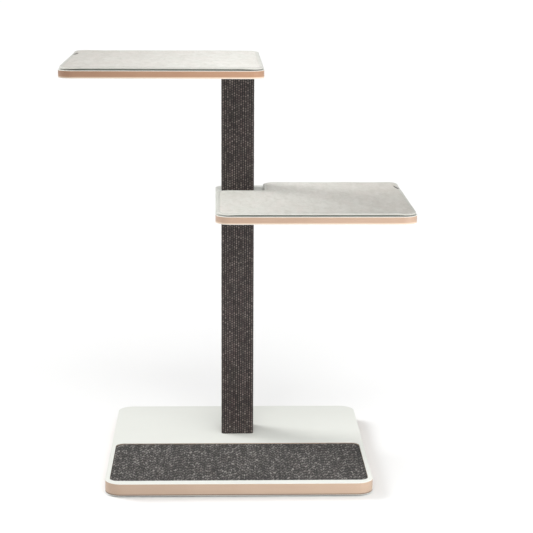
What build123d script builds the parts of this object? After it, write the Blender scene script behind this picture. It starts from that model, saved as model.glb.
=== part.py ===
from build123d import *
import os

os.makedirs("parts", exist_ok=True)

# A two-shelf cat tree: a heavy square base, one square scratching post in two lengths,
# and two square shelves that reach out to either side of it. Each shelf is clamped by the
# post: the middle one between the two lengths, the top one on the head of the upper length.
# Millimetres. +Z is up, +X to the right and -Y to the front. The origin is on the floor,
# under the centre of the base.

# ---- driving dimensions --------------------------------------------------------------

# Felt glides under the base
glide_radius = 20.0
glide_inset = 55.0
glide_cup_thickness = 1.4
glide_felt_thickness = 2.6
glide_height = glide_cup_thickness + glide_felt_thickness
glide_hole_radius = 4.5
glide_screw_radius = 1.7
glide_screw_head_radius = 3.4
glide_screw_head_height = 1.8
glide_screw_length = 17.0
glide_screw_pilot_clearance = 0.05
glide_cup_hole_clearance = 0.3

# Boards
laminate_thickness = 0.8
base_size = 600.0
base_thickness = 28.0
base_corner_radius = 38.0
shelf_size = 440.0
shelf_thickness = 17.0
shelf_corner_radius = 32.0
shelf_margin = 14.0

# Scratch pad, let into a pocket in the base
pad_width = 580.0
pad_length = 271.0
pad_front_margin = 22.0
pad_corner_radius = 20.0
pad_side_clearance = 0.5
pad_pile_thickness = 3.6
pad_backing_thickness = 1.5
pad_recess = 0.9

# Post
core_size = 70.0
core_chamfer = 1.5
sisal_thickness = 3.5
sisal_corner_radius = 5.0
seam_gap = 0.6
post_behind_centre = 105.0
shelf_top_above_base = 598.0
top_shelf_above_base = 912.0

# Mats
mat_inset = 2.5
mat_corner_radius = 30.0
mat_thickness = 5.0
mat_edge_round = 2.0
grip_thickness = 3.0
grip_inset = 5.5
grip_corner_radius = 60.0
notch_front_gap = 30.0
notch_side_gap = 23.0
notch_inner_radius = 12.0
notch_outer_radius = 28.0
edge_tolerance = 0.01

# Fasteners, all M8 except the glide screws
bolt_radius = 3.95
bolt_hole_radius = 4.5
bolt_spacing = 36.0
bolt_head_radius = 6.5
bolt_head_height = 8.0
hex_key_size = 6.0
hex_key_depth = 4.5
washer_radius = 10.0
washer_bore_radius = 4.2
washer_thickness = 1.6
counterbore_radius = 11.0
counterbore_depth = 11.0
bolt_reach = 19.0
flat_head_radius = 8.0
flat_head_height = 4.2
flat_head_recess = 0.3
insert_radius = 6.0
insert_bore_radius = 4.05
insert_length = 22.0
insert_clearance = 0.05
dowel_radius = 5.0
dowel_reach = 15.0
dowel_clearance = 0.05
dowel_glue_gap = 1.0

# ---- derived heights and places ------------------------------------------------------

base_bottom = glide_height
base_top = base_bottom + base_thickness
mid_shelf_top = base_top + shelf_top_above_base
mid_shelf_bottom = mid_shelf_top - shelf_thickness
top_shelf_top = base_top + top_shelf_above_base
top_shelf_bottom = top_shelf_top - shelf_thickness

post_size = core_size + 2 * sisal_thickness
post_place = Location((0, post_behind_centre))
shelf_reach = shelf_size / 2 - post_size / 2 - shelf_margin
shelf_y = post_behind_centre - shelf_reach
mid_shelf_x = shelf_reach
top_shelf_x = -shelf_reach

pocket_depth = pad_recess + pad_pile_thickness + pad_backing_thickness
pad_y = -base_size / 2 + pad_front_margin + pad_length / 2
washer_top = base_bottom + counterbore_depth

glide_grid = GridLocations(base_size - 2 * glide_inset, base_size - 2 * glide_inset, 2, 2)
four_bolts = [
    Location((x, post_behind_centre + y))
    for x in (-bolt_spacing / 2, bolt_spacing / 2)
    for y in (-bolt_spacing / 2, bolt_spacing / 2)
]
two_studs = [Location((x, post_behind_centre)) for x in (-bolt_spacing / 2, bolt_spacing / 2)]
two_dowels = [
    Location((0, post_behind_centre + y)) for y in (-bolt_spacing / 2, bolt_spacing / 2)
]


def save(part, name):
    """Label a finished piece and write it under its own name."""
    part.label = name
    export_step(part, f"parts/{name}.step")


def disc_stack(places, radius, low, high, bore=0.0):
    """Equal round discs or tubes between two heights, one at each place."""
    with BuildPart() as discs:
        with BuildSketch(Plane.XY.offset(low)):
            with Locations(*places):
                Circle(radius)
                if bore > 0:
                    Circle(bore, mode=Mode.SUBTRACT)
        extrude(amount=high - low)
    return discs.part


# ---- glides: a screwed plastic cup with a felt disc under it, one near each corner ----

glide_places = glide_grid.locations

glide_felts = disc_stack(glide_places, glide_radius, 0, glide_felt_thickness, glide_hole_radius)
save(glide_felts, "glide_felts")

with BuildPart() as glide_cups:
    with BuildSketch(Plane.XY.offset(glide_felt_thickness)):
        with Locations(*glide_places):
            Circle(glide_radius)
            Circle(glide_screw_radius + glide_cup_hole_clearance, mode=Mode.SUBTRACT)
    extrude(amount=glide_cup_thickness)
save(glide_cups.part, "glide_cups")

with BuildPart() as glide_screws:
    with BuildSketch(Plane.XY.offset(glide_felt_thickness - glide_screw_head_height)):
        with Locations(*glide_places):
            Circle(glide_screw_head_radius)
    extrude(amount=glide_screw_head_height)
    with BuildSketch(Plane.XY.offset(glide_felt_thickness)):
        with Locations(*glide_places):
            Circle(glide_screw_radius)
    extrude(amount=glide_screw_length)
    with BuildSketch(Plane.XY.offset(glide_felt_thickness - glide_screw_head_height)):
        with Locations(*glide_places):
            Rectangle(glide_screw_head_radius, glide_screw_radius / 2)
            Rectangle(glide_screw_radius / 2, glide_screw_head_radius)
    extrude(amount=glide_screw_head_height / 2, mode=Mode.SUBTRACT)
save(glide_screws.part, "glide_screws")


# ---- base board: plywood core between two sheets of laminate -------------------------

core_low = base_bottom + laminate_thickness
core_high = base_top - laminate_thickness

with BuildPart() as base_core:
    with BuildSketch(Plane.XY.offset(core_low)):
        RectangleRounded(base_size, base_size, base_corner_radius)
    extrude(amount=core_high - core_low)
    with BuildSketch(Plane.XY.offset(core_high)):
        with Locations((0, pad_y)):
            RectangleRounded(pad_width, pad_length, pad_corner_radius)
    extrude(amount=-(pocket_depth - laminate_thickness), mode=Mode.SUBTRACT)
    with BuildSketch(Plane.XY.offset(core_low)):
        with Locations(*four_bolts):
            Circle(bolt_hole_radius)
    extrude(amount=core_high - core_low, mode=Mode.SUBTRACT)
    with BuildSketch(Plane.XY.offset(core_low)):
        with Locations(*four_bolts):
            Circle(counterbore_radius)
    extrude(amount=washer_top - core_low, mode=Mode.SUBTRACT)
    with BuildSketch(Plane.XY.offset(core_low)):
        with Locations(*glide_places):
            Circle(glide_screw_radius + glide_screw_pilot_clearance)
    extrude(amount=glide_screw_length, mode=Mode.SUBTRACT)
save(base_core.part, "base_core")

with BuildPart() as base_top_laminate:
    with BuildSketch(Plane.XY.offset(core_high)):
        RectangleRounded(base_size, base_size, base_corner_radius)
        with Locations((0, pad_y)):
            RectangleRounded(pad_width, pad_length, pad_corner_radius, mode=Mode.SUBTRACT)
        with Locations(*four_bolts):
            Circle(bolt_hole_radius, mode=Mode.SUBTRACT)
    extrude(amount=laminate_thickness)
save(base_top_laminate.part, "base_top_laminate")

with BuildPart() as base_bottom_laminate:
    with BuildSketch(Plane.XY.offset(base_bottom)):
        RectangleRounded(base_size, base_size, base_corner_radius)
        with Locations(*four_bolts):
            Circle(counterbore_radius, mode=Mode.SUBTRACT)
        with Locations(*glide_places):
            Circle(glide_screw_radius + glide_screw_pilot_clearance, mode=Mode.SUBTRACT)
    extrude(amount=laminate_thickness)
save(base_bottom_laminate.part, "base_bottom_laminate")


# ---- scratch pad: woven pile on a rubber backing, lifts out of its pocket -------------

def pad_layer(low, thickness):
    """One layer of the scratch pad, a little smaller than its pocket."""
    with BuildPart() as layer:
        with BuildSketch(Plane.XY.offset(low)):
            with Locations((0, pad_y)):
                RectangleRounded(
                    pad_width - 2 * pad_side_clearance,
                    pad_length - 2 * pad_side_clearance,
                    pad_corner_radius - pad_side_clearance,
                )
        extrude(amount=thickness)
    return layer.part


pocket_floor = base_top - pocket_depth
scratch_pad_backing = pad_layer(pocket_floor, pad_backing_thickness)
save(scratch_pad_backing, "scratch_pad_backing")

scratch_pad_pile = pad_layer(pocket_floor + pad_backing_thickness, pad_pile_thickness)
save(scratch_pad_pile, "scratch_pad_pile")


# ---- post cores and their sisal sleeves -----------------------------------------------

def post_core(low, high, foot_bolts, head_bolts, foot_dowels, head_dowels):
    """A solid timber length of post, drilled at both ends for inserts and dowels."""
    with BuildPart() as core:
        with BuildSketch(Plane.XY.offset(low)) as section:
            with Locations(post_place):
                Rectangle(core_size, core_size)
            chamfer(section.vertices(), length=core_chamfer)
        extrude(amount=high - low)
        for end, direction, bolts, dowels in (
            (low, 1, foot_bolts, foot_dowels),
            (high, -1, head_bolts, head_dowels),
        ):
            with BuildSketch(Plane.XY.offset(end)):
                with Locations(*bolts):
                    Circle(insert_radius + insert_clearance)
            extrude(amount=direction * insert_length, mode=Mode.SUBTRACT)
            if dowels:
                with BuildSketch(Plane.XY.offset(end)):
                    with Locations(*dowels):
                        Circle(dowel_radius + dowel_clearance)
                extrude(amount=direction * (dowel_reach + dowel_glue_gap), mode=Mode.SUBTRACT)
    return core.part


def sisal_sleeve(low, high):
    """Woven sisal wrapped once round a core, its two edges meeting behind the post."""
    with BuildPart() as sleeve:
        with BuildSketch(Plane.XY.offset(low)) as outer:
            with Locations(post_place):
                RectangleRounded(post_size, post_size, sisal_corner_radius)
        extrude(amount=high - low)
        with BuildSketch(Plane.XY.offset(low)) as inner:
            with Locations(post_place):
                Rectangle(core_size, core_size)
            chamfer(inner.vertices(), length=core_chamfer)
        extrude(amount=high - low, mode=Mode.SUBTRACT)
        with BuildSketch(Plane.XY.offset(low)):
            with Locations((0, post_behind_centre + post_size / 2)):
                Rectangle(seam_gap, 3 * sisal_thickness)
        extrude(amount=high - low, mode=Mode.SUBTRACT)
    return sleeve.part


lower_post_core = post_core(base_top, mid_shelf_bottom, four_bolts, two_studs, [], two_dowels)
save(lower_post_core, "lower_post_core")

upper_post_core = post_core(mid_shelf_top, top_shelf_bottom, two_studs, four_bolts, two_dowels, [])
save(upper_post_core, "upper_post_core")

lower_sisal_sleeve = sisal_sleeve(base_top, mid_shelf_bottom)
save(lower_sisal_sleeve, "lower_sisal_sleeve")

upper_sisal_sleeve = sisal_sleeve(mid_shelf_top, top_shelf_bottom)
save(upper_sisal_sleeve, "upper_sisal_sleeve")


# ---- threaded inserts in the ends of the cores ----------------------------------------

def inserts(places, low, high):
    return disc_stack(places, insert_radius, low, high, insert_bore_radius)


save(inserts(four_bolts, base_top, base_top + insert_length), "lower_post_foot_inserts")
save(
    inserts(two_studs, mid_shelf_bottom - insert_length, mid_shelf_bottom),
    "lower_post_head_inserts",
)
save(inserts(two_studs, mid_shelf_top, mid_shelf_top + insert_length), "upper_post_foot_inserts")
save(
    inserts(four_bolts, top_shelf_bottom - insert_length, top_shelf_bottom),
    "upper_post_head_inserts",
)


# ---- base bolts and washers, sunk into the underside of the base -----------------------

head_top = washer_top - washer_thickness
head_low = head_top - bolt_head_height

with BuildPart() as base_bolts:
    with BuildSketch(Plane.XY.offset(head_low)):
        with Locations(*four_bolts):
            Circle(bolt_head_radius)
    extrude(amount=bolt_head_height)
    with BuildSketch(Plane.XY.offset(head_top)):
        with Locations(*four_bolts):
            Circle(bolt_radius)
    extrude(amount=base_top + bolt_reach - head_top)
    with BuildSketch(Plane.XY.offset(head_low)):
        with Locations(*four_bolts):
            RegularPolygon(hex_key_size / 2, 6, major_radius=False)
    extrude(amount=hex_key_depth, mode=Mode.SUBTRACT)
save(base_bolts.part, "base_bolts")

base_washers = disc_stack(four_bolts, washer_radius, head_top, washer_top, washer_bore_radius)
save(base_washers, "base_washers")


# ---- studs and dowels that join the two lengths of post through the middle shelf -------

mid_studs = disc_stack(
    two_studs, bolt_radius, mid_shelf_bottom - bolt_reach, mid_shelf_top + bolt_reach
)
save(mid_studs, "mid_studs")

mid_dowels = disc_stack(
    two_dowels, dowel_radius, mid_shelf_bottom - dowel_reach, mid_shelf_top + dowel_reach
)
save(mid_dowels, "mid_dowels")


# ---- shelves: the same board turned to either side of the post ------------------------

def shelf_board(low, centre_x, through, dowels, sunk_heads):
    """Core, top laminate and bottom laminate of one shelf, in that order."""
    core_bottom = low + laminate_thickness
    core_top = low + shelf_thickness - laminate_thickness
    layers = (
        (core_bottom, core_top),
        (core_top, low + shelf_thickness),
        (low, core_bottom),
    )
    boards = []
    for layer_low, layer_high in layers:
        with BuildPart() as board:
            with BuildSketch(Plane.XY.offset(layer_low)):
                with Locations((centre_x, shelf_y)):
                    RectangleRounded(shelf_size, shelf_size, shelf_corner_radius)
                with Locations(*through):
                    Circle(bolt_hole_radius, mode=Mode.SUBTRACT)
                if dowels:
                    with Locations(*dowels):
                        Circle(dowel_radius + dowel_clearance, mode=Mode.SUBTRACT)
            extrude(amount=layer_high - layer_low)
            if sunk_heads and layer_high > core_bottom:
                with BuildSketch(Plane.XY.offset(low + shelf_thickness)):
                    with Locations(*through):
                        Circle(flat_head_radius + flat_head_recess)
                extrude(amount=-(flat_head_height + flat_head_recess), mode=Mode.SUBTRACT)
        boards.append(board.part)
    return boards


mid_core, mid_top_sheet, mid_bottom_sheet = shelf_board(
    mid_shelf_bottom, mid_shelf_x, two_studs, two_dowels, sunk_heads=False
)
save(mid_core, "mid_shelf_core")
save(mid_top_sheet, "mid_shelf_top_laminate")
save(mid_bottom_sheet, "mid_shelf_bottom_laminate")

top_core, top_top_sheet, top_bottom_sheet = shelf_board(
    top_shelf_bottom, top_shelf_x, four_bolts, [], sunk_heads=True
)
save(top_core, "top_shelf_core")
save(top_top_sheet, "top_shelf_top_laminate")
save(top_bottom_sheet, "top_shelf_bottom_laminate")

# Flat-head bolts sit in flat-bottomed pockets, flush under the top mat.
flat_head_top = top_shelf_top - flat_head_recess
flat_head_low = flat_head_top - flat_head_height

with BuildPart() as top_shelf_bolts:
    with BuildSketch(Plane.XY.offset(flat_head_low)):
        with Locations(*four_bolts):
            Circle(flat_head_radius)
    extrude(amount=flat_head_height)
    with BuildSketch(Plane.XY.offset(top_shelf_bottom - bolt_reach)):
        with Locations(*four_bolts):
            Circle(bolt_radius)
    extrude(amount=flat_head_low - top_shelf_bottom + bolt_reach)
    with BuildSketch(Plane.XY.offset(flat_head_top)):
        with Locations(*four_bolts):
            RegularPolygon(hex_key_size / 2, 6, major_radius=False)
    extrude(amount=-hex_key_depth / 2, mode=Mode.SUBTRACT)
save(top_shelf_bolts.part, "top_shelf_bolts")


# ---- mats: a soft pad on a non-slip underlay, one loose on each shelf -------------------

def notch(extra):
    """The open corner that clears the post, cut from the mat's inner rear corner."""
    left = mid_shelf_x - shelf_size
    right = post_size / 2 + notch_side_gap + extra
    front = post_behind_centre - post_size / 2 - notch_front_gap - extra
    back = shelf_y + shelf_size
    with Locations(((left + right) / 2, (front + back) / 2)):
        Rectangle(right - left, back - front, mode=Mode.SUBTRACT)


def mat_layer(low, thickness, centre_x, inset, corner_radius, notched, top_round):
    """One layer of a mat, with its own inset from the edge of the shelf."""
    width = shelf_size - 2 * inset
    with BuildPart() as layer:
        with BuildSketch(Plane.XY.offset(low)):
            with Locations((centre_x, shelf_y)):
                RectangleRounded(width, width, corner_radius)
            if notched:
                notch(inset - mat_inset)
        extrude(amount=thickness)
        if notched:
            post_axis_foot = (0, post_behind_centre, low + thickness / 2)
            near_post = layer.edges().filter_by(Axis.Z).sort_by_distance(post_axis_foot)
            fillet(near_post[0], notch_inner_radius)
            near_post = layer.edges().filter_by(Axis.Z).sort_by_distance(post_axis_foot)
            ends = [e for e in near_post if is_notch_end(e, centre_x, width)]
            fillet(ends, notch_outer_radius)
        if top_round > 0:
            fillet(layer.faces().sort_by(Axis.Z)[-1].edges(), top_round)
    return layer.part


def is_notch_end(edge, centre_x, width):
    """Whether an upright edge is where the notch meets the mat's rear or inner side."""
    middle = edge.center()
    on_side = abs(middle.X - (centre_x - width / 2)) < edge_tolerance
    on_rear = abs(middle.Y - (shelf_y + width / 2)) < edge_tolerance
    rear_end = on_rear and middle.X < centre_x
    side_end = on_side and middle.Y > shelf_y
    return rear_end or side_end


for shelf_name, shelf_top, shelf_x, notched in (
    ("mid", mid_shelf_top, mid_shelf_x, True),
    ("top", top_shelf_top, top_shelf_x, False),
):
    grip = mat_layer(
        shelf_top, grip_thickness, shelf_x, grip_inset, grip_corner_radius, notched, 0
    )
    save(grip, f"{shelf_name}_mat_grip")
    mat = mat_layer(
        shelf_top + grip_thickness,
        mat_thickness,
        shelf_x,
        mat_inset,
        mat_corner_radius,
        notched,
        mat_edge_round,
    )
    save(mat, f"{shelf_name}_mat")
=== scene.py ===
import bmesh
import bpy
import math
import numpy as np
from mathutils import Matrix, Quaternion, Vector


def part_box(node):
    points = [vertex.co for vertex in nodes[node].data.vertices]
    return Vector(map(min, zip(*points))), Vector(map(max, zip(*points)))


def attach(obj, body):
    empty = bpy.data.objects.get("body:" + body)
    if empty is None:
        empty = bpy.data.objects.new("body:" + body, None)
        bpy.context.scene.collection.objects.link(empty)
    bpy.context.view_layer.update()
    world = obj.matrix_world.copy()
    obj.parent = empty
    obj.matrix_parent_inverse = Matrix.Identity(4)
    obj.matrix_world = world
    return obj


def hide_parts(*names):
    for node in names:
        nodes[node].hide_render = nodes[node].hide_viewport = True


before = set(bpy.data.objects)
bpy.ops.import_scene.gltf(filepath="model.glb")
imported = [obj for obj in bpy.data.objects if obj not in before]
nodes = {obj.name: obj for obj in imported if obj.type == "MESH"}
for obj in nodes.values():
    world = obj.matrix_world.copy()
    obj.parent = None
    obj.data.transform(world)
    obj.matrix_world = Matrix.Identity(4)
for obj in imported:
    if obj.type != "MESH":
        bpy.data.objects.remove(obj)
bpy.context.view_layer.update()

# A cat tree: laminated base with an inlaid scratch pad, a sisal-covered post and two shelves,
# each with a loose mat. Metres, in the frame's own axes: +X right, -Y front, +Z up.

MM = 0.001
rng = np.random.default_rng(11)


# ---- material building ----------------------------------------------------------------

class Finish:
    """A procedural material on one Principled shader, patterned in object coordinates (metres)."""

    def __init__(self, name, roughness=0.5, specular=0.5):
        self.material = bpy.data.materials.new(name)
        self.material.use_nodes = True
        self.tree = self.material.node_tree
        self.tree.nodes.clear()
        output = self.tree.nodes.new("ShaderNodeOutputMaterial")
        self.shader = self.tree.nodes.new("ShaderNodeBsdfPrincipled")
        self.tree.links.new(self.shader.outputs[0], output.inputs[0])
        self.place = self.tree.nodes.new("ShaderNodeTexCoord").outputs["Object"]
        self.set("Roughness", roughness)
        self.set("Specular IOR Level", specular)

    def set(self, socket, value):
        """A constant, or another node's output, on one of the shader's sockets."""
        self.join(self.shader.inputs[socket], value)

    def join(self, socket, value):
        if isinstance(value, bpy.types.NodeSocket):
            self.tree.links.new(value, socket)
        elif isinstance(value, (tuple, list)) and len(value) == 3 and socket.type == "RGBA":
            socket.default_value = (*value, 1)
        else:
            socket.default_value = value

    def stretched(self, x, y, z):
        """Object coordinates multiplied per axis, to draw a pattern out along one of them."""
        mapping = self.tree.nodes.new("ShaderNodeMapping")
        mapping.inputs["Scale"].default_value = (x, y, z)
        self.join(mapping.inputs["Vector"], self.place)
        return mapping.outputs[0]

    def noise(self, size, detail=3, roughness=0.5, vector=None, distortion=0.0):
        """Soft noise whose blotches are about size metres across."""
        node = self.tree.nodes.new("ShaderNodeTexNoise")
        self.join(node.inputs["Vector"], vector or self.place)
        node.inputs["Scale"].default_value = 1 / size
        node.inputs["Detail"].default_value = detail
        node.inputs["Roughness"].default_value = roughness
        node.inputs["Distortion"].default_value = distortion
        return node.outputs[0]

    def cells(self, size, feature="F1", vector=None, output="Distance"):
        node = self.tree.nodes.new("ShaderNodeTexVoronoi")
        node.feature = feature
        self.join(node.inputs["Vector"], vector or self.place)
        node.inputs["Scale"].default_value = 1 / size
        return node.outputs[output]

    def axis(self, letter):
        node = self.tree.nodes.new("ShaderNodeSeparateXYZ")
        self.join(node.inputs[0], self.place)
        return node.outputs[letter]

    def attribute(self, name):
        node = self.tree.nodes.new("ShaderNodeAttribute")
        node.attribute_name = name
        return node.outputs["Fac"]

    def math(self, operation, a, b=0.0, clamp=False):
        node = self.tree.nodes.new("ShaderNodeMath")
        node.operation = operation
        node.use_clamp = clamp
        self.join(node.inputs[0], a)
        self.join(node.inputs[1], b)
        return node.outputs[0]

    def span(self, value, low, high, to_low=0.0, to_high=1.0):
        """Maps low..high to to_low..to_high, held at the ends."""
        node = self.tree.nodes.new("ShaderNodeMapRange")
        self.join(node.inputs["Value"], value)
        node.inputs["From Min"].default_value = low
        node.inputs["From Max"].default_value = high
        node.inputs["To Min"].default_value = to_low
        node.inputs["To Max"].default_value = to_high
        return node.outputs[0]

    def grey(self, value):
        """A neutral colour whose three channels are all one value."""
        node = self.tree.nodes.new("ShaderNodeCombineColor")
        for channel in node.inputs:
            self.join(channel, value)
        return node.outputs[0]

    def blend(self, factor, a, b, how="MIX"):
        """Colour a turning into colour b."""
        node = self.tree.nodes.new("ShaderNodeMix")
        node.data_type = "RGBA"
        node.blend_type = how
        self.join(node.inputs["Factor"], factor)
        self.join(node.inputs[6], a)
        self.join(node.inputs[7], b)
        return node.outputs[2]

    def bump(self, height, depth, strength=1.0):
        """Relief from a height of 0..1 that stands for depth metres, over any relief before it."""
        node = self.tree.nodes.new("ShaderNodeBump")
        node.inputs["Strength"].default_value = strength
        node.inputs["Distance"].default_value = depth
        self.join(node.inputs["Height"], height)
        if self.shader.inputs["Normal"].is_linked:
            previous = self.shader.inputs["Normal"].links[0].from_socket
            self.join(node.inputs["Normal"], previous)
        self.set("Normal", node.outputs[0])


RUBBED_PLY = (0.74, 0.60, 0.47)
# Painted shade: the dark colour on the base's lower arris stands for the shadow in the gap under the base.
PAINTED_SHADE_PLY = (0.060, 0.036, 0.026)
FOOT_BAND = 3.6 * MM
FOOT_WEAR_AND_SHADE = 0.7


def plywood(name, tone, warm, ends, foot, low, high):
    """The clear-lacquered edge of a board: thin plies, alternately along and across the grain.

    ends is how far painted shade darkens the board's left end and painted light lifts its right end.
    foot is the colour laid on its lower arris: a pale rub of wear on the shelves, painted shade of the
    shadowed gap beneath on the base.
    """
    ply = 1.35 * MM
    f = Finish(name, 0.42, 0.35)
    wander = f.noise(0.09, 2, vector=f.stretched(1, 1, 0.2))
    height = f.math("ADD", f.axis("Z"), f.math("MULTIPLY", wander, 0.5 * MM))
    wave = f.math("SINE", f.math("MULTIPLY", height, 2 * math.pi / (2 * ply)))
    layer = f.span(wave, -0.35, 0.35)
    along = f.noise(0.012, 5, 0.65, f.stretched(0.12, 0.12, 6.0))
    pores = f.noise(0.0011, 2, 0.6, f.stretched(1.0, 1.0, 0.7))
    patches = f.noise(0.11, 3, 0.5, f.stretched(1, 1, 0.3))
    long_grain = f.blend(along, [c * 1.07 for c in tone], [c * 0.86 for c in tone])
    end_grain = f.blend(pores, [c * 0.99 for c in warm], [c * 0.72 for c in warm])
    colour = f.blend(f.math("MULTIPLY", layer, 0.55), long_grain, end_grain)
    colour = f.blend(f.span(patches, 0.35, 0.65, 0.0, 0.35), colour, [c * 0.9 for c in warm])
    glue = f.span(f.math("ABSOLUTE", wave), 0.0, 0.22, 0.35, 0.0)
    colour = f.blend(glue, colour, [c * 0.5 for c in warm])
    rubbed = f.span(f.axis("Z"), high.z - 1.1 * MM, high.z, 0.0, 0.4)
    colour = f.blend(rubbed, colour, RUBBED_PLY)
    # The lower arris takes the foot colour: pale wear on the shelves, painted shade of the gap beneath on
    # the base.
    foot_wear_and_shade = f.span(f.axis("Z"), low.z + FOOT_BAND / 2, low.z + FOOT_BAND, FOOT_WEAR_AND_SHADE, 0.0)
    colour = f.blend(foot_wear_and_shade, colour, foot)
    # Painted light and shade: the board's colour darkens towards its left end and lightens towards its
    # right, as if lit from the right.
    painted_side_light = f.span(f.axis("X"), low.x, high.x, *ends)
    f.set("Base Color", f.blend(1.0, colour, f.grey(painted_side_light), "MULTIPLY"))
    f.set("Roughness", f.span(pores, 0.3, 0.7, 0.38, 0.55))
    f.bump(f.math("ADD", f.math("MULTIPLY", pores, 0.6), f.math("MULTIPLY", wave, 0.2)), 0.08 * MM)
    f.shader.inputs["Coat Weight"].default_value = 0.12
    f.shader.inputs["Coat Roughness"].default_value = 0.35
    return f.material


def laminate(name, tone):
    """Matt white laminate with a fine orange-peel emboss and the faintest handling marks."""
    f = Finish(name, 0.64, 0.22)
    haze = f.noise(0.16, 4, 0.55)
    f.set("Base Color", f.blend(haze, [c * 1.02 for c in tone], [c * 0.965 for c in tone]))
    rubs = f.noise(0.035, 4, 0.6)
    f.set("Roughness", f.span(rubs, 0.3, 0.7, 0.58, 0.70))
    f.bump(f.noise(0.0009, 2, 0.5), 0.03 * MM, 0.5)
    return f.material


def sisal():
    """Dark ribbed weave: hard glossy knots of straw-flecked yarn, with painted shade laid near black in
    the gaps between the ribs.
    """
    f = Finish("sisal_weave", 0.62, 0.4)
    fleck = f.attribute("fleck")
    relief = f.attribute("relief")
    strand = f.noise(0.0016, 4, 0.75, f.stretched(1.0, 1.0, 0.22))
    twist = f.noise(0.0007, 2, 0.6, f.stretched(1.0, 1.0, 0.5))
    dye = f.noise(0.022, 3, 0.6, f.stretched(1, 1, 0.55))
    yarn = f.blend(f.span(strand, 0.3, 0.72), (0.037, 0.0235, 0.0205), (0.082, 0.056, 0.050))
    straw = f.blend(f.span(twist, 0.3, 0.7), (0.190, 0.150, 0.135), (0.345, 0.290, 0.265))
    colour = f.blend(f.span(fleck, 0.1, 1.0), yarn, straw)
    colour = f.blend(f.span(dye, 0.52, 0.68, 0.0, 0.45), colour, (0.125, 0.074, 0.074))
    colour = f.blend(f.span(dye, 0.32, 0.46, 0.4, 0.0), colour, (0.078, 0.072, 0.058))
    # Painted shade: the low ground between the ribs and beads is painted near black, standing for the
    # shadow in those hollows.
    colour = f.blend(f.span(relief, 0.40, 0.86, 0.98, 0.0), colour, (0.005, 0.004, 0.004))
    f.set("Base Color", colour)
    f.set("Roughness", f.span(strand, 0.3, 0.7, 0.72, 0.5))
    f.bump(strand, 0.35 * MM, 0.8)
    f.bump(twist, 0.12 * MM, 0.6)
    f.shader.inputs["Sheen Weight"].default_value = 0.06
    f.shader.inputs["Sheen Roughness"].default_value = 0.5
    f.shader.inputs["Sheen Tint"].default_value = (0.80, 0.74, 0.70, 1)
    return f.material


def carpet():
    """Grey heathered flat weave of the scratch pad, in charcoal and pale stone yarn."""
    f = Finish("carpet_weave", 0.85, 0.25)
    fleck = f.attribute("fleck")
    relief = f.attribute("relief")
    fibre = f.noise(0.0012, 4, 0.7, f.stretched(1, 0.4, 1))
    dye = f.noise(0.020, 3, 0.6, f.stretched(1, 0.3, 1))
    charcoal = f.blend(f.span(fibre, 0.35, 0.7), (0.046, 0.040, 0.0375), (0.089, 0.080, 0.075))
    stone = f.blend(f.span(fibre, 0.35, 0.7), (0.190, 0.175, 0.162), (0.345, 0.323, 0.302))
    colour = f.blend(f.span(fleck, 0.1, 1.0), charcoal, stone)
    colour = f.blend(f.span(dye, 0.54, 0.70, 0.0, 0.35), colour, (0.150, 0.118, 0.110))
    # Painted shade: the hollows between the yarn loops are painted almost black, and the pad's cut sides
    # are darkened.
    colour = f.blend(f.span(relief, 0.28, 0.74, 0.97, 0.0), colour, (0.008, 0.007, 0.006))
    f.set("Base Color", colour)
    f.bump(fibre, 0.4 * MM, 0.8)
    f.shader.inputs["Sheen Weight"].default_value = 0.05
    f.shader.inputs["Sheen Roughness"].default_value = 0.6
    return f.material


def suede(name):
    """Brushed light grey-beige fabric, its nap stroked front to back in soft uneven patches."""
    f = Finish(name, 0.6, 0.3)
    strokes = f.noise(0.016, 4, 0.62, f.stretched(1.0, 0.30, 1.0), 0.5)
    patches = f.noise(0.034, 3, 0.6, f.stretched(1.0, 0.36, 1.0), 0.4)
    mottle = f.noise(0.006, 3, 0.6, f.stretched(1.0, 0.4, 1.0))
    nap = f.noise(0.0008, 3, 0.7)
    colour = f.blend(f.span(strokes, 0.36, 0.66), (0.745, 0.735, 0.685), (0.630, 0.615, 0.560))
    colour = f.blend(f.span(patches, 0.50, 0.68, 0.0, 0.6), colour, (0.745, 0.700, 0.655))
    colour = f.blend(f.span(patches, 0.30, 0.46, 0.5, 0.0), colour, (0.680, 0.705, 0.645))
    colour = f.blend(f.span(mottle, 0.42, 0.72, 0.0, 0.5), colour, (0.785, 0.778, 0.730))
    colour = f.blend(f.span(nap, 0.35, 0.7, 0.0, 0.2), colour, (0.42, 0.40, 0.36))
    # Painted light: the cloth is lighter next to the post and darker towards the mat's outer end, as if
    # lit over the post.
    painted_light_falloff = f.span(f.math("ABSOLUTE", f.axis("X")), 0.02, 0.38, 0.0, 1.0)
    colour = f.blend(painted_light_falloff, colour, (0.715, 0.695, 0.680), "MULTIPLY")
    # Painted shade: the hem band is darkened and cooled, as the shaded edge of the mat.
    colour = f.blend(f.math("MULTIPLY", f.attribute("hem"), 0.5), colour, (0.47, 0.485, 0.45))
    # Painted shade in the seam groove.
    colour = f.blend(f.math("MULTIPLY", f.attribute("groove"), 0.30), colour, (0.36, 0.345, 0.31))
    # Painted shade: the finger slot is painted near black, for the shadow inside it.
    colour = f.blend(f.attribute("slot"), colour, (0.018, 0.019, 0.020))
    f.set("Base Color", colour)
    f.set("Roughness", f.span(strokes, 0.3, 0.7, 0.50, 0.68))
    f.bump(f.math("ADD", f.math("MULTIPLY", nap, 0.5), f.math("MULTIPLY", mottle, 0.5)), 0.25 * MM, 0.7)
    f.shader.inputs["Sheen Weight"].default_value = 0.15
    f.shader.inputs["Sheen Roughness"].default_value = 0.45
    return f.material


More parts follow.
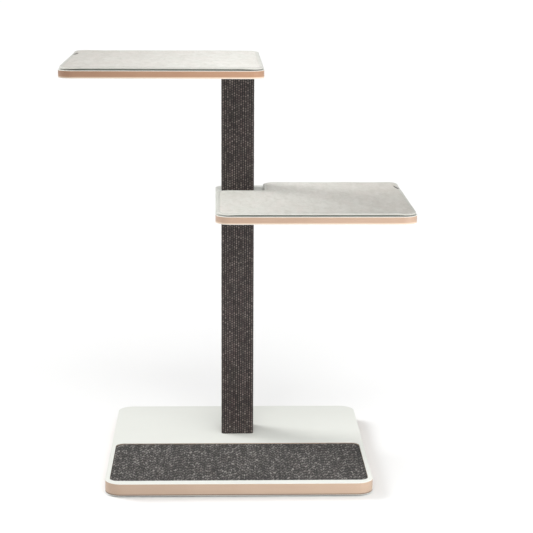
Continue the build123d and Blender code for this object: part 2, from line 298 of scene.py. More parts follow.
def rubber(name, pitch, dark, dusty):
    """Foam rubber with a grid of small dimples."""
    f = Finish(name, 0.8, 0.3)
    dimples = f.cells(pitch, "F1")
    dust = f.noise(0.02, 4, 0.6)
    f.set("Base Color", f.blend(dust, dark, dusty))
    f.set("Roughness", f.span(dust, 0.3, 0.7, 0.72, 0.9))
    f.bump(f.span(dimples, 0.1, 0.5), 0.4 * MM, 0.8)
    return f.material


def timber(name, light, dark):
    """Planed softwood or beech, with growth rings running up the length."""
    f = Finish(name, 0.55, 0.35)
    rings = f.noise(0.018, 4, 0.55, f.stretched(1.0, 1.0, 0.06), 0.8)
    fibres = f.noise(0.0016, 3, 0.6, f.stretched(1, 1, 0.08))
    colour = f.blend(f.span(rings, 0.35, 0.66), light, dark)
    colour = f.blend(f.math("MULTIPLY", fibres, 0.35), colour, dark)
    f.set("Base Color", colour)
    f.set("Roughness", f.span(fibres, 0.3, 0.7, 0.5, 0.66))
    f.bump(fibres, 0.1 * MM, 0.6)
    return f.material


def metal(name, tone, roughness):
    """Plated metal with fine turning marks and a few duller patches."""
    f = Finish(name, roughness, 0.5)
    turning = f.noise(0.0012, 3, 0.6, f.stretched(0.25, 0.25, 4))
    patches = f.noise(0.006, 3, 0.6)
    f.set("Metallic", 1.0)
    f.set("Base Color", f.blend(f.span(patches, 0.35, 0.7), tone, [c * 0.78 for c in tone]))
    f.set("Roughness", f.span(patches, 0.3, 0.7, roughness, roughness + 0.18))
    f.bump(turning, 0.03 * MM, 0.5)
    return f.material


def plastic(name):
    """Black moulded plastic with a spark-eroded texture."""
    f = Finish(name, 0.5, 0.45)
    grain = f.noise(0.0007, 3, 0.6)
    f.set("Base Color", f.blend(f.noise(0.01, 3), (0.022, 0.022, 0.023), (0.040, 0.040, 0.041)))
    f.set("Roughness", f.span(grain, 0.3, 0.7, 0.42, 0.62))
    f.bump(grain, 0.05 * MM, 0.6)
    return f.material


def felt(name):
    """Pressed dark felt, with a trodden, dusty face."""
    f = Finish(name, 0.95, 0.15)
    fuzz = f.noise(0.0009, 4, 0.75)
    dust = f.noise(0.008, 3, 0.6)
    colour = f.blend(fuzz, (0.050, 0.047, 0.044), (0.145, 0.138, 0.130))
    f.set("Base Color", f.blend(f.span(dust, 0.4, 0.7, 0, 0.4), colour, (0.20, 0.19, 0.175)))
    f.bump(fuzz, 0.4 * MM, 0.9)
    f.shader.inputs["Sheen Weight"].default_value = 0.3
    return f.material


def thread(name):
    """Pale sewing thread, twisted."""
    f = Finish(name, 0.55, 0.4)
    twist = f.noise(0.0005, 2, 0.5)
    f.set("Base Color", f.blend(twist, (0.78, 0.77, 0.73), (0.58, 0.57, 0.53)))
    f.bump(twist, 0.1 * MM, 0.6)
    return f.material


# ---- mesh helpers ----------------------------------------------------------------------

def make_piece(name, points, faces, material, attributes=None, smooth=True):
    """A named mesh object from points and faces, with optional per-point float attributes."""
    mesh = bpy.data.meshes.new(name)
    mesh.from_pydata([tuple(p) for p in points], [], faces)
    mesh.validate()
    for key, values in (attributes or {}).items():
        layer = mesh.attributes.new(key, "FLOAT", "POINT")
        layer.data.foreach_set("value", np.asarray(values, np.float32))
    shell = bmesh.new()
    shell.from_mesh(mesh)
    bmesh.ops.recalc_face_normals(shell, faces=shell.faces)
    shell.to_mesh(mesh)
    shell.free()
    mesh.polygons.foreach_set("use_smooth", [smooth] * len(mesh.polygons))
    mesh.materials.append(material)
    mesh.update()
    piece = bpy.data.objects.new(name, mesh)
    bpy.context.scene.collection.objects.link(piece)
    return piece


def grid_faces(columns, rows, start=0):
    """Quads over a grid of points stored row by row."""
    faces = []
    for j in range(rows - 1):
        for i in range(columns - 1):
            a = start + j * columns + i
            faces.append((a, a + 1, a + columns + 1, a + columns))
    return faces


def smooth_noise(points, size, seed=0):
    """Repeatable smooth noise, -1..1, from a few sines of different directions."""
    local = np.random.default_rng(seed)
    total = np.zeros(len(points))
    for k in range(6):
        direction = local.normal(size=2)
        direction /= np.linalg.norm(direction)
        stretch = size * (0.6 + 0.25 * k)
        phase = local.uniform(0, 2 * math.pi)
        total += np.sin(points[:, :2] @ direction * 2 * math.pi / stretch + phase) / (1 + 0.35 * k)
    return total / 3.2


# ---- CAD nodes that keep their shape ----------------------------------------------------

def dress(name, material, bevel=0.0):
    """Gives a CAD node its material, and breaks its sharp edges a little."""
    node = nodes[name]
    node.data.materials.clear()
    node.data.materials.append(material)
    if bevel > 0:
        rounding = node.modifiers.new("edge", "BEVEL")
        rounding.width = bevel
        rounding.segments = 2
        rounding.limit_method = "ANGLE"
        rounding.angle_limit = math.radians(40)
        rounding.harden_normals = False


# Per board: tone, end-grain tone, the painted shade-to-light ramp from left end to right end, and the
# colour of its lower arris.
ply_tones = {
    "base_core": ((0.51, 0.380, 0.287), (0.45, 0.320, 0.232), (0.90, 1.10), PAINTED_SHADE_PLY),
    "mid_shelf_core": ((0.52, 0.367, 0.275), (0.455, 0.303, 0.21), (0.93, 1.03), RUBBED_PLY),
    "top_shelf_core": ((0.415, 0.245, 0.154), (0.355, 0.196, 0.114), (0.76, 1.20), RUBBED_PLY),
}
for name, (tone, warm, ends, foot) in ply_tones.items():
    low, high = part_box(name)
    dress(name, plywood(f"{name}_edge", tone, warm, ends, foot, low, high), 0.35 * MM)

white = laminate("white_laminate", (0.72, 0.73, 0.69))
for name in nodes:
    if name.endswith("_laminate"):
        dress(name, white, 0.2 * MM)

pine = timber("pine", (0.66, 0.49, 0.30), (0.50, 0.32, 0.17))
beech = timber("beech", (0.62, 0.45, 0.31), (0.52, 0.35, 0.22))
zinc = metal("zinc_plate", (0.66, 0.67, 0.68), 0.28)
brass = metal("insert_brass", (0.72, 0.55, 0.27), 0.32)
grip_foam = rubber("grip_foam", 2.6 * MM, (0.105, 0.118, 0.105), (0.165, 0.180, 0.160))
pad_foam = rubber("pad_foam", 3.2 * MM, (0.030, 0.029, 0.028), (0.062, 0.059, 0.057))
for name in nodes:
    if name.endswith("_post_core"):
        dress(name, pine, 0.3 * MM)
    elif name.endswith("_inserts"):
        dress(name, brass, 0.25 * MM)
    elif name.endswith("_grip"):
        dress(name, grip_foam, 0.3 * MM)
    elif name == "scratch_pad_backing":
        dress(name, pad_foam, 0.2 * MM)
    elif name.endswith("_dowels"):
        dress(name, beech, 0.6 * MM)
    elif name.endswith(("_bolts", "_studs", "_washers", "_screws")):
        dress(name, zinc, 0.3 * MM)
dress("glide_cups", plastic("black_plastic"), 0.4 * MM)
dress("glide_felts", felt("glide_felt"), 0.5 * MM)


# ---- sisal sleeves: real ribs, with a knot-like bead along each ------------------------

RIB_COUNT = 56
SAMPLES_PER_RIB = 5
RIB_DEPTH = 1.15 * MM
BEAD_LENGTH = 5.8 * MM
BEAD_DEPTH = 0.45 * MM
ROW_STEP = BEAD_LENGTH / 3.4
CORNER = 5.0 * MM
SEAM_HALF = 0.35 * MM
BACKING_DEPTH = 3.45 * MM
INNER_CORNER = 1.4 * MM
CREST_SHARE = 0.6
RIB_FULLNESS = 0.8
RIB_JITTER = 0.06
BEAD_FULLNESS = 1.2
WANDER = 0.10
WANDER_LENGTH = 31 * MM


def square_path(half, corner, along):
    """Points and outward directions at distances along a rounded square, from the rear centre."""
    side = 2 * (half - corner)
    arc = corner * math.pi / 2
    turn = 4 * (side + arc)
    where = (np.asarray(along) * turn + side / 2) % turn
    points = np.zeros((len(where), 2))
    normals = np.zeros((len(where), 2))
    for k in range(4):
        angle = math.pi / 2 - k * math.pi / 2
        outward = np.array([math.cos(angle), math.sin(angle)])
        forward = np.array([outward[1], -outward[0]])
        local = where - k * (side + arc)
        on_side = (local >= 0) & (local < side)
        points[on_side] = outward * half + forward * (local[on_side, None] - side / 2)
        normals[on_side] = outward
        on_arc = (local >= side) & (local < side + arc)
        bend = (local[on_arc] - side) / corner
        ray = np.cos(bend)[:, None] * outward + np.sin(bend)[:, None] * forward
        centre = outward * (half - corner) + forward * side / 2
        points[on_arc] = centre + ray * corner
        normals[on_arc] = ray
    return points, normals


def weave_rings(outline, outward, low, high, seed):
    """The sleeve's outer face, ring by ring: its points, how high each one stands, and its flecks."""
    columns = len(outline)
    rows = int((high.z - low.z) / ROW_STEP) + 1
    centre = (low + high) / 2
    rib = np.linspace(0, 1, columns) * RIB_COUNT
    profile = np.abs(np.sin(np.pi * rib)) ** RIB_FULLNESS
    profile[0] = profile[-1] = 0
    rib_number = np.minimum(rib.astype(int), RIB_COUNT - 1)
    phase = (rib_number % 2) * 0.5 + rng.normal(0, RIB_JITTER, RIB_COUNT)[rib_number]
    local = np.random.default_rng(seed)
    bead_count = int((high.z - low.z) / BEAD_LENGTH) + 3
    bead_size = local.uniform(0.55, 1.25, (RIB_COUNT, bead_count))
    bead_tint = local.beta(1.5, 1.8, (RIB_COUNT, bead_count))
    points, relief, fleck = [], [], []
    for z in np.linspace(low.z, high.z, rows):
        wander = WANDER * np.sin(z / WANDER_LENGTH + rib_number * 1.7)
        travel = z / BEAD_LENGTH + phase + wander - low.z / BEAD_LENGTH + 1
        number = np.clip(travel.astype(int), 0, bead_count - 1)
        bead = np.sin(np.pi * (travel - np.floor(travel))) ** BEAD_FULLNESS
        size = bead_size[rib_number, number]
        rise = profile * (RIB_DEPTH * CREST_SHARE + BEAD_DEPTH * (bead * size - 0.5))
        rise = rise - (1 - profile) * RIB_DEPTH * (1 - CREST_SHARE)
        ring = outline + outward * rise[:, None]
        points.append(np.column_stack([ring + (centre.x, centre.y), np.full(columns, z)]))
        relief.append(np.clip(profile * (0.45 + 0.55 * bead * size), 0, 1))
        fleck.append(bead_tint[rib_number, number] * (0.4 + 0.6 * bead))
    return np.concatenate(points), np.concatenate(relief), np.concatenate(fleck)


def sleeve_faces(columns, rows):
    """Faces of a slit tube: outer grid, two end rims, inner face and the two sides of the slit."""
    faces = [f[::-1] for f in grid_faces(columns, rows)]
    foot = columns * rows
    head = foot + columns
    top_row = (rows - 1) * columns
    for i in range(columns - 1):
        faces.append((i, i + 1, foot + i + 1, foot + i))
        faces.append((top_row + i + 1, top_row + i, head + i, head + i + 1))
        faces.append((foot + i, foot + i + 1, head + i + 1, head + i))
    left = [j * columns for j in range(rows)]
    faces.append(tuple(left + [head, foot]))
    right = [j * columns + columns - 1 for j in range(rows)]
    faces.append(tuple(right[::-1] + [foot + columns - 1, head + columns - 1]))
    return faces


def sisal_sleeve(name, node, body, material):
    """A closed sleeve of ribbed weave round a core, butted together at the rear."""
    low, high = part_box(node)
    centre = (low + high) / 2
    half = (high.x - low.x) / 2
    columns = RIB_COUNT * SAMPLES_PER_RIB + 1
    along = np.clip(np.linspace(0, 1, columns), 0, 1 - 1e-9)
    outline, outward = square_path(half - RIB_DEPTH * CREST_SHARE, CORNER, along)
    outline[0] = (SEAM_HALF, half - RIB_DEPTH)
    outline[-1] = (-SEAM_HALF, half - RIB_DEPTH)
    outward[0] = outward[-1] = (0, 1)
    inner = square_path(half - BACKING_DEPTH, INNER_CORNER, along)[0]
    inner[0] = (SEAM_HALF, half - BACKING_DEPTH)
    inner[-1] = (-SEAM_HALF, half - BACKING_DEPTH)
    outer, relief, fleck = weave_rings(outline, outward, low, high, seed=len(name))
    ends = [
        np.column_stack([inner + (centre.x, centre.y), np.full(columns, z)])
        for z in (low.z, high.z)
    ]
    plain = np.zeros(2 * columns)
    attributes = {"relief": np.append(relief, plain), "fleck": np.append(fleck, plain)}
    faces = sleeve_faces(columns, len(outer) // columns)
    piece = make_piece(name, np.concatenate([outer, *ends]), faces, material, attributes)
    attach(piece, body)
    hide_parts(node)


weave = sisal()
sisal_sleeve("lower_sisal_cover", "lower_sisal_sleeve", "frame", weave)
sisal_sleeve("upper_sisal_cover", "upper_sisal_sleeve", "frame", weave)


# ---- scratch pad: rows of yarn loops ----------------------------------------------------

LOOP_WIDTH = 4.9 * MM
LOOP_LENGTH = 18.0 * MM
LOOP_SAMPLES = 6
ROW_SAMPLES = 8
MEANDER = 0.8
LOOP_HEIGHT = 1.5 * MM
LOOP_FULLNESS = 0.55
LOOP_JITTER = 0.13
PAD_CORNER = 19.5 * MM
MEANDER_SIZE = 20 * MM
CALM_MARGIN = 10 * MM
EDGE_DROP = 0.6 * MM
UNDER_GAP = 0.02 * MM


def half_width_at(offset, half_length, half_width, corner):
    """Half the width of a rounded rectangle at a distance from its middle line."""
    into = np.clip(np.abs(offset) - (half_length - corner), 0, corner)
    return half_width - corner + np.sqrt(np.maximum(corner**2 - into**2, 0))


def scratch_pad(name, node, body, material):
    """The pad's looped face, its cut sides and a flat underside, as one closed mesh."""
    low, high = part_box(node)
    centre = (low + high) / 2
    half_x, half_y = (high.x - low.x) / 2, (high.y - low.y) / 2
    across = int(2 * half_x / LOOP_WIDTH)
    deep = int(2 * half_y / LOOP_LENGTH)
    columns = across * LOOP_SAMPLES + 1
    rows = deep * ROW_SAMPLES + 1
    u = np.linspace(-1, 1, columns)
    v = np.linspace(-1, 1, rows)
    local = np.random.default_rng(5)
    size = local.uniform(0.55, 1.0, (deep + 2, across + 2))
    tint = local.beta(1.3, 1.5, (deep + 2, across + 2))
    points, relief, fleck = [], [], []
    phase = 0.5 * (np.arange(across + 2) % 2) + local.normal(0, LOOP_JITTER, across + 2)
    for b in v:
        y = b * half_y
        width = half_width_at(y, half_y, half_x, PAD_CORNER)
        weave_at = np.column_stack([u * width, np.full(columns, y)])
        from_side = np.clip((1 - np.abs(u)) * half_x / CALM_MARGIN, 0, 1)
        sway = MEANDER * from_side * smooth_noise(weave_at, MEANDER_SIZE, 8)
        place = np.clip((u + 1) / 2 * across + sway, 0, across)
        column = place.astype(int)
        travel = (b + 1) / 2 * deep + 1 + phase[column]
        row = np.clip(travel.astype(int), 0, deep + 1)
        bell = np.abs(np.sin(np.pi * place)) * np.abs(np.sin(np.pi * travel))
        bell = bell**LOOP_FULLNESS
        edge = np.minimum(1, np.minimum((1 - np.abs(u)) * half_x, (1 - abs(b)) * half_y) / MM)
        rise = LOOP_HEIGHT * (bell * size[row, column] - 1)
        z = high.z + rise - (1 - edge) * EDGE_DROP
        points.append(np.column_stack([centre.x + u * width, np.full(columns, centre.y + y), z]))
        relief.append(bell * size[row, column])
        fleck.append(tint[row, column])
    top = np.concatenate(points)
    faces = grid_faces(columns, rows)
    rim = list(range(columns)) + [j * columns + columns - 1 for j in range(1, rows)]
    rim += [(rows - 1) * columns + i for i in range(columns - 2, -1, -1)]
    rim += [j * columns for j in range(rows - 2, 0, -1)]
    under = top[rim].copy()
    under[:, 2] = low.z + UNDER_GAP
    first = len(top)
    count = len(rim)
    for k in range(count):
        n = (k + 1) % count
        faces.append((rim[n], rim[k], first + k, first + n))
    faces.append(tuple(first + k for k in range(count - 1, -1, -1)))
    attributes = {
        "relief": np.concatenate([np.concatenate(relief), np.full(count, 0.4)]),
        "fleck": np.concatenate([np.concatenate(fleck), np.zeros(count)]),
    }
    piece = make_piece(name, np.concatenate([top, under]), faces, material, attributes)
    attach(piece, body)
    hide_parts(node)


scratch_pad("scratch_pad_loops", "scratch_pad_pile", "scratch_pad", carpet())


# ---- mats: padded, with a rolled hem and a stitched seam --------------------------------

MAT_RADIUS = 30 * MM
NOTCH_OUTER_RADIUS = 28 * MM
NOTCH_INNER_RADIUS = 12 * MM
NOTCH_SIDE_GAP = 23 * MM
NOTCH_FRONT_GAP = 30 * MM
OUTLINE_SPACING = 2.6 * MM
ARC_SPACING = 1.6 * MM
FEWEST_ARC_STEPS = 6
SMALLEST_RADIUS = 0.4 * MM

HEM_WIDTH = 8.0 * MM
GROOVE_REACH = 1.3 * MM
TOP_STEPS = 26
UNDER_STEPS = 7

CURL_REACH = 0.10
CORNER_LIFT = 1.5 * MM
CORNER_DROOP = 2.3 * MM
DROOP_REACH = 55 * MM

SLOT_INSET = 8 * MM
SLOT_FROM_REAR = 74 * MM
SLOT_TILT = math.radians(9)
SLOT_HALF_WIDTH = 2.8 * MM
SLOT_HALF_LENGTH = 20 * MM
SLOT_DEPTH = 3.0 * MM

STITCH_LENGTH = 3.4 * MM
STITCH_PITCH = 5.2 * MM
STITCH_RADIUS = 0.42 * MM
STITCH_RISE = 0.35 * MM
STITCH_SIDES = 6
STITCH_RINGS = 5


class Mat:
    """Where one mat lies, and how: outer_side is +1 where its free edge points right, else -1."""

    def __init__(self, node, outer_side, rear_lift, notch=None):
        self.node = node
        self.low, self.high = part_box(node)
        self.thickness = self.high.z - self.low.z
        self.outer_side = outer_side
        self.rear_lift = rear_lift
        outer_x = self.high.x if outer_side > 0 else self.low.x
        self.lift_corner = (outer_x, self.high.y)
        self.corners = self.outline_corners(notch)

    def outline_corners(self, notch):
        """(x, y, radius, turn) of each corner, anticlockwise from the front left one."""
        low, high = self.low, self.high
        front = [(low.x, low.y, MAT_RADIUS, 1), (high.x, low.y, MAT_RADIUS, 1)]
        right_rear = (high.x, high.y, MAT_RADIUS, 1)
        if notch is None:
            return [*front, right_rear, (low.x, high.y, MAT_RADIUS, 1)]
        notch_x, notch_y = notch
        return [
            *front,
            right_rear,
            (notch_x, high.y, NOTCH_OUTER_RADIUS, 1),
            (notch_x, notch_y, NOTCH_INNER_RADIUS, -1),
            (low.x, notch_y, NOTCH_OUTER_RADIUS, 1),
        ]


def moved_corner(corners, k, inset):
    """Corner k moved inwards: its point, the directions in and out of it, its radius and turn."""
    before = Vector(corners[k - 1][:2])
    here = Vector(corners[k][:2])
    after = Vector(corners[(k + 1) % len(corners)][:2])
    d_in = (here - before).normalized()
    d_out = (after - here).normalized()
    n_in = Vector((-d_in.y, d_in.x))
    n_out = Vector((-d_out.y, d_out.x))
    radius, turn = corners[k][2:]
    radius = max(radius - turn * inset, SMALLEST_RADIUS)
    return here + (n_in + n_out) * inset, d_in, d_out, radius, turn


def rounded_outline(corners, inset, counts=None):
    """Points round a polygon whose corners are (x, y, radius, turn), all moved inwards.

    turn is +1 at a corner that points outwards and -1 at one that points inwards. counts fixes
    how many points each arc and each straight gets, so that outlines at two insets match.
    """
    moved = [moved_corner(corners, k, inset) for k in range(len(corners))]
    used = []
    points = []
    for k, (here, d_in, d_out, radius, turn) in enumerate(moved):
        fitting = max(FEWEST_ARC_STEPS, int(corners[k][2] / ARC_SPACING))
        steps = counts[2 * k] if counts else fitting
        centre = here + (d_out - d_in) * radius
        ray = -d_out
        arc = []
        for i in range(steps + 1):
            angle = i / steps * math.pi / 2 * turn
            c, s = math.cos(angle), math.sin(angle)
            spoke = Vector((ray.x * c - ray.y * s, ray.x * s + ray.y * c))
            arc.append(centre + spoke * radius)
        next_here, next_in = moved[(k + 1) % len(moved)][:2]
        next_radius = moved[(k + 1) % len(moved)][3]
        end = next_here - next_in * next_radius
        fitting = max(2, int((end - arc[-1]).length / OUTLINE_SPACING))
        straight = counts[2 * k + 1] if counts else fitting
        used += [steps, straight]
        points += arc
        points += [arc[-1].lerp(end, i / straight) for i in range(1, straight)]
    return np.array([tuple(p) for p in points]), used


def hem_profile(thickness):
    """(inset, height) pairs up the outside of the hem and over the seam, from the underside."""
    r = thickness * 0.46
    crown = 2.04 * r
    profile = []
    for step in range(9):
        angle = -math.pi / 2 + step * math.pi / 8
        profile.append((r * (1 - math.cos(angle)), r + r * math.sin(angle)))
    profile += [
        (r * 1.9, crown),
        (HEM_WIDTH * 0.62, 2.0 * r),
        (HEM_WIDTH * 0.82, 1.95 * r),
        (HEM_WIDTH * 0.93, 1.85 * r),
        (HEM_WIDTH, 1.78 * r),
        (HEM_WIDTH * 1.07, 1.85 * r),
        (HEM_WIDTH * 1.20, 1.95 * r),
        (HEM_WIDTH * 1.33, 2.01 * r),
        (HEM_WIDTH * 1.5, crown),
    ]
    profile += [(inset * MM, 2.05 * r) for inset in (13, 14, 16, 18, 20, 22, 24, 26, 28)]
    return profile


def mat_surface(mat, focus):
    """A flat mat as rings round its outline: points, faces, and how far each is hem or groove."""
    outline, counts = rounded_outline(mat.corners, 0.0)
    n = len(outline)
    rings, hem, groove = [], [], []
    for inset, height in hem_profile(mat.thickness):
        ring = rounded_outline(mat.corners, inset, counts)[0]
        rings.append(np.column_stack([ring, np.full(n, mat.low.z + height)]))
        hem.append(1.0 if inset < HEM_WIDTH * 0.85 else 0.0)
        groove.append(max(0.0, 1 - abs(inset - HEM_WIDTH) / GROOVE_REACH))
    last = rings[-1]
    middle = np.array([*focus, last[0, 2]])
    for k in range(1, TOP_STEPS):
        rings.append(last + (middle - last) * (k / TOP_STEPS))
    under_middle = np.array([*focus, mat.low.z])
    under_rings = [
        rings[0] + (under_middle - rings[0]) * (k / UNDER_STEPS) for k in range(1, UNDER_STEPS)
    ]
    points = np.concatenate(rings + [middle[None, :]] + under_rings + [under_middle[None, :]])
    plain = len(points) - len(hem) * n
    hem = np.concatenate([np.repeat(hem, n), np.zeros(plain)])
    groove = np.concatenate([np.repeat(groove, n), np.zeros(plain)])

    faces = []
    for j in range(len(rings) - 1):
        for i in range(n):
            a, b = j * n + i, j * n + (i + 1) % n
            faces.append((a, b, b + n, a + n))
    top = (len(rings) - 1) * n
    apex = len(rings) * n
    for i in range(n):
        faces.append((top + i, top + (i + 1) % n, apex))
    under = apex + 1
    inmost = under + (UNDER_STEPS - 2) * n
    for i in range(n):
        j = (i + 1) % n
        faces.append((j, i, under + i, under + j))
        for k in range(UNDER_STEPS - 2):
            a, b = under + k * n + i, under + k * n + j
            faces.append((b, a, a + n, b + n))
        faces.append((inmost + j, inmost + i, len(points) - 1))
    return points, faces, hem, groove, counts


def shape_mat(points, mat):
    """Sags the mat's corners onto the board, curls its rear and makes its surface a little uneven."""
    low, high = mat.low, mat.high
    shaped = points.copy()
    x, y = points[:, 0], points[:, 1]
    upper = np.clip((points[:, 2] - low.z) / mat.thickness, 0, 1)
    shaped[:, 2] += 0.35 * MM * smooth_noise(points, 0.16, 3) * upper
    shaped[:, 2] += 0.22 * MM * smooth_noise(points, 0.045, 4) * upper
    edge = np.minimum.reduce([x - low.x, high.x - x, y - low.y, high.y - y])
    pucker = np.exp(-((edge - HEM_WIDTH * 1.7) / (6 * MM)) ** 2)
    shaped[:, 2] += 0.28 * MM * pucker * smooth_noise(points, 0.017, 6) * upper
    reach = np.clip((y - (high.y - CURL_REACH)) / CURL_REACH, 0, 1)
    shaped[:, 2] += mat.rear_lift * reach**2.2
    for cx, cy, _, turn in mat.corners:
        if turn < 0:
            continue
        droop = np.clip(1 - np.hypot(x - cx, y - cy) / DROOP_REACH, 0, 1)
        if math.dist((cx, cy), mat.lift_corner) < MM:
            amount = CORNER_LIFT
        elif cy < (low.y + high.y) / 2:
            amount = -CORNER_DROOP
        else:
            amount = 0.0
        shaped[:, 2] += amount * droop**1.6
    return shaped


def finger_slot(points, mat):
    """How far each point lies inside the short slot near the rear of the mat's outer edge."""
    corner_x, corner_y = mat.lift_corner
    middle = np.array([corner_x - mat.outer_side * SLOT_INSET, corner_y - SLOT_FROM_REAR])
    tilt = SLOT_TILT * mat.outer_side
    away = points[:, :2] - middle
    across = away[:, 0] * math.cos(tilt) + away[:, 1] * math.sin(tilt)
    along = away[:, 1] * math.cos(tilt) - away[:, 0] * math.sin(tilt)
    reach = np.hypot(across / SLOT_HALF_WIDTH, along / SLOT_HALF_LENGTH)
    return np.clip((1.3 - reach) * 2.0, 0, 1)


def stitches(name, line, body, mat, material):
    """A row of separate thread stitches lying in the seam, left out across the slot."""
    height = mat.low.z + mat.thickness * 0.62
    closed = np.vstack([line, line[:1]])
    lengths = np.hypot(*np.diff(closed, axis=0).T)
    reached = np.concatenate([[0], np.cumsum(lengths)])
    total = reached[-1]
    count = int(total / STITCH_PITCH)
    points, faces = [], []
    for k in range(count):
        where = k * total / count + np.linspace(0, STITCH_LENGTH, STITCH_RINGS)
        xs = np.interp(where % total, reached, closed[:, 0])
        ys = np.interp(where % total, reached, closed[:, 1])
        if finger_slot(np.column_stack([xs, ys]), mat).max() > 0:
            continue
        first = len(points)
        heading = np.array([xs[-1] - xs[0], ys[-1] - ys[0]])
        heading /= max(np.linalg.norm(heading), 1e-9)
        sideways = np.array([-heading[1], heading[0]])
        for i in range(STITCH_RINGS):
            swell = math.sin(math.pi * (i + 0.35) / (STITCH_RINGS - 0.3))
            radius = STITCH_RADIUS * (0.35 + 0.65 * swell)
            lift = height + STITCH_RISE * swell
            for a in range(STITCH_SIDES):
                turn = 2 * math.pi * a / STITCH_SIDES
                x, y = sideways * math.cos(turn) * radius
                points.append((xs[i] + x, ys[i] + y, lift + math.sin(turn) * radius))
        for i in range(STITCH_RINGS - 1):
            for a in range(STITCH_SIDES):
                b = (a + 1) % STITCH_SIDES
                base = first + i * STITCH_SIDES
                faces.append((base + a, base + b, base + STITCH_SIDES + b, base + STITCH_SIDES + a))
        faces.append(tuple(first + a for a in range(STITCH_SIDES - 1, -1, -1)))
        last = first + (STITCH_RINGS - 1) * STITCH_SIDES
        faces.append(tuple(last + a for a in range(STITCH_SIDES)))
    piece = make_piece(name, shape_mat(np.array(points), mat), faces, material)
    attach(piece, body)


def padded_mat(name, body, mat, focus, material, seam_thread):
    """One mat: rolled hem, stitched seam, a gently uneven padded middle and a curled rear edge.

    focus is the point (x, y) that the rings of its surface close in on.
    """
    points, faces, hem, groove, counts = mat_surface(mat, focus)
    slot = finger_slot(points, mat) * (points[:, 2] > (mat.low.z + mat.high.z) / 2)
    shaped = shape_mat(points, mat)
    shaped[:, 2] -= SLOT_DEPTH * slot
    # hem, groove and slot also mark where the cloth is painted with shade.
    attributes = {"hem": hem * (1 - slot), "groove": groove, "slot": np.clip(slot * 1.6, 0, 1)}
    piece = make_piece(name, shaped, faces, material, attributes)
    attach(piece, body)
    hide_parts(mat.node)
    seam = rounded_outline(mat.corners, HEM_WIDTH, counts)[0]
    stitches(f"{name}_seam", seam, body, mat, seam_thread)


cloth = suede("brushed_suede")
cotton = thread("seam_thread")
post_low, post_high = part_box("upper_sisal_sleeve")
notch_corner = (post_high.x + NOTCH_SIDE_GAP, post_low.y - NOTCH_FRONT_GAP)
mid = Mat("mid_mat", outer_side=1, rear_lift=0.8 * MM, notch=notch_corner)
top = Mat("top_mat", outer_side=-1, rear_lift=2.8 * MM)
mid_focus = (mid.low.x + 0.275, mid.low.y + 0.16)
top_focus = ((top.low.x + top.high.x) / 2, (top.low.y + top.high.y) / 2)
padded_mat("mid_mat_pad", "mid_mat", mid, mid_focus, cloth, cotton)
padded_mat("top_mat_pad", "top_mat", top, top_focus, cloth, cotton)


# ---- floor, light and camera ---------------------------------------------------------------

FLOOR_REACH = 40.0
FLOOR_DROP = 0.2 * MM


def pale_floor():
    """A plain matt floor that runs on past the view, just below the glides."""
    f = Finish("pale_floor", 0.9, 0.1)
    f.set("Base Color", f.blend(f.noise(2.5, 2), (0.895, 0.895, 0.892), (0.885, 0.885, 0.882)))
    points = [
        (x * FLOOR_REACH, y * FLOOR_REACH, -FLOOR_DROP)
        for x, y in ((-1, -1), (1, -1), (1, 1), (-1, 1))
    ]
    floor = make_piece("studio_floor", points, [(0, 1, 2, 3)], f.material, smooth=False)


def softbox(name, place, aim, width, height, power, tint=(1, 1, 1)):
    """A rectangular studio light pointed at a place."""
    data = bpy.data.lights.new(name, "AREA")
    data.shape = "RECTANGLE"
    data.size, data.size_y = width, height
    data.energy = power
    data.color = tint
    lamp = bpy.data.objects.new(name, data)
    bpy.context.scene.collection.objects.link(lamp)
    lamp.location = place
    lamp.rotation_mode = "QUATERNION"
    lamp.rotation_quaternion = (Vector(aim) - Vector(place)).to_track_quat("-Z", "Y")
    lamp.visible_camera = False


def distant_softbox(name, towards, spread, power):
    """A far-off soft source in one direction, so that its light is even over the whole floor."""
    data = bpy.data.lights.new(name, "SUN")
    data.energy = power
    data.angle = math.radians(spread)
    lamp = bpy.data.objects.new(name, data)
    bpy.context.scene.collection.objects.link(lamp)
    lamp.rotation_mode = "QUATERNION"
    lamp.rotation_quaternion = (-Vector(towards)).to_track_quat("-Z", "Y")


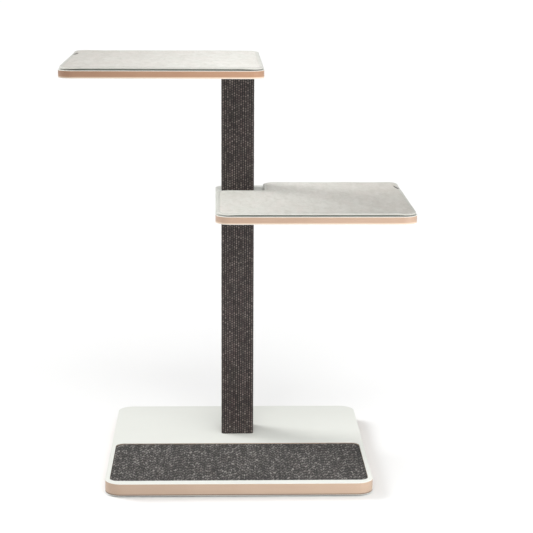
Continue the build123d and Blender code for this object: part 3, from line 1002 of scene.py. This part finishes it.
def studio_sky():
    """A dome that falls off towards the lower left, like a tent lit from the right.

    A white band stands all round its horizon, where the far floor meets it.
    """
    world = bpy.data.worlds.new("studio_sky")
    world.use_nodes = True
    tree = world.node_tree
    background = tree.nodes["Background"]
    place = tree.nodes.new("ShaderNodeTexCoord")
    parts = tree.nodes.new("ShaderNodeSeparateXYZ")
    tree.links.new(place.outputs["Generated"], parts.inputs[0])

    def span(value, low, high, to_low, to_high):
        node = tree.nodes.new("ShaderNodeMapRange")
        node.interpolation_type = "SMOOTHSTEP"
        tree.links.new(value, node.inputs["Value"])
        node.inputs["From Min"].default_value = low
        node.inputs["From Max"].default_value = high
        for key, bound in (("To Min", to_low), ("To Max", to_high)):
            if isinstance(bound, bpy.types.NodeSocket):
                tree.links.new(bound, node.inputs[key])
            else:
                node.inputs[key].default_value = bound
        return node.outputs[0]

    sides = span(parts.outputs["X"], -0.8, 0.8, SKY_LEFT, SKY_RIGHT)
    dome = span(parts.outputs["Z"], 0.15, 0.6, sides, SKY_TOP)
    strength = span(parts.outputs["Z"], 0.16, 0.30, SKY_HORIZON, dome)
    tree.links.new(strength, background.inputs["Strength"])
    background.inputs["Color"].default_value = (1, 1, 1, 1)
    bpy.context.scene.world = world


SKY_TOP = 0.44
SKY_LEFT = 0.12
SKY_RIGHT = 1.2
SKY_HORIZON = 1.02

CAMERA_PLACE = (-0.0492, -3.7752, 1.2489)
CAMERA_YAW = 0.03076
CAMERA_PITCH = 0.20539
CAMERA_ROLL = 0.0051
LENS = 111.0
SENSOR = 36.0
VIEW_REACH = 100.0


def studio_camera():
    """A long lens from the front, above the top shelf, tilted down and turned a little to the right."""
    data = bpy.data.cameras.new("camera")
    data.lens = LENS
    data.sensor_width = SENSOR
    data.clip_end = VIEW_REACH
    camera = bpy.data.objects.new("camera", data)
    bpy.context.scene.collection.objects.link(camera)
    camera.location = CAMERA_PLACE
    level = math.cos(CAMERA_PITCH)
    forward = Vector((math.sin(CAMERA_YAW) * level, math.cos(CAMERA_YAW) * level, -math.sin(CAMERA_PITCH)))
    camera.rotation_mode = "QUATERNION"
    camera.rotation_quaternion = forward.to_track_quat("-Z", "Y") @ Quaternion((0, 0, 1), CAMERA_ROLL)
    bpy.context.scene.camera = camera


pale_floor()
studio_sky()
distant_softbox("left_rear", (-1.0, 0.55, 0.66), 34, 2.30)
distant_softbox("front", (0.05, -1.0, 0.85), 40, 1.50)
softbox("right_card", (1.10, -0.95, 0.40), (0.1, -0.1, 0.45), 0.5, 0.8, 5.0)
softbox("front_top", (0.06, -0.45, 1.50), (0.06, -0.3, 0.75), 0.35, 0.35, 0.7)
studio_camera()
bpy.context.scene.view_settings.view_transform = "Standard"
